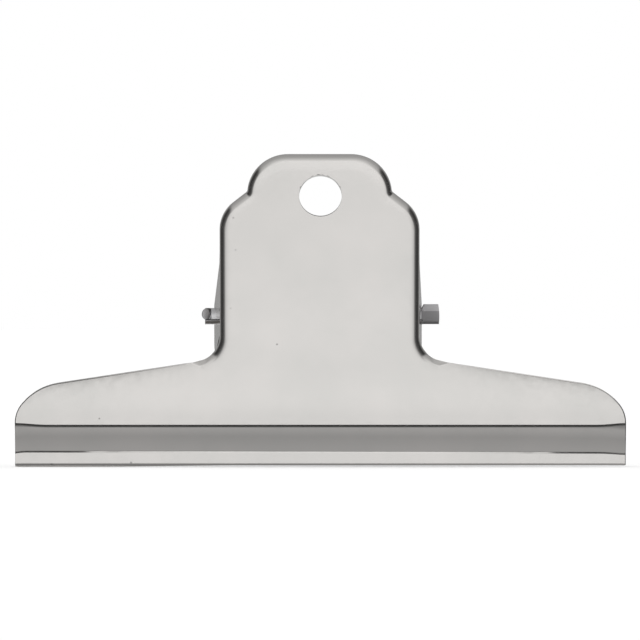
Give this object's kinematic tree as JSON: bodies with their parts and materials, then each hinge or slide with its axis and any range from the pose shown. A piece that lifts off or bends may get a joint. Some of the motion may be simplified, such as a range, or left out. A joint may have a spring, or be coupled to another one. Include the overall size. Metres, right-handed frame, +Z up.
{
  "type": "bulldog clip",
  "caption": "Wide-jaw sheet-metal bulldog clip with a stepped handle, a hanging hole and a sprung hinge, for holding a stack of paper along its edge.",
  "frame": {"origin": "middle of the jaw, at the lowest edge of the lips, midway between the two plates", "axes": "+Z up from the lips to the handles, +X along the jaw, -Y out of the front plate"},
  "size_m": [0.145, 0.0432, 0.0741],
  "materials": {
    "plate_nickel": "bright nickel plated, brushed under the plating",
    "pin_nickel": "satin nickel plated",
    "spring_steel": "drawn spring wire, plated"
  },
  "bodies": {
    "front": {"front_plate": "plate_nickel", "hinge_pin": "pin_nickel", "torsion_spring": "spring_steel"},
    "rear": {"rear_plate": "plate_nickel"}
  },
  "joints": [
    {"name": "jaw_hinge", "type": "hinge", "parent": "front", "child": "rear", "pos_m": [0, 0, 0.0358], "axis": [1, 0, 0], "range_deg": [0, 50], "stiffness_Nm_per_rad": 0.35, "springref_deg": -45.84, "deforming": ["torsion_spring"]}
  ]
}
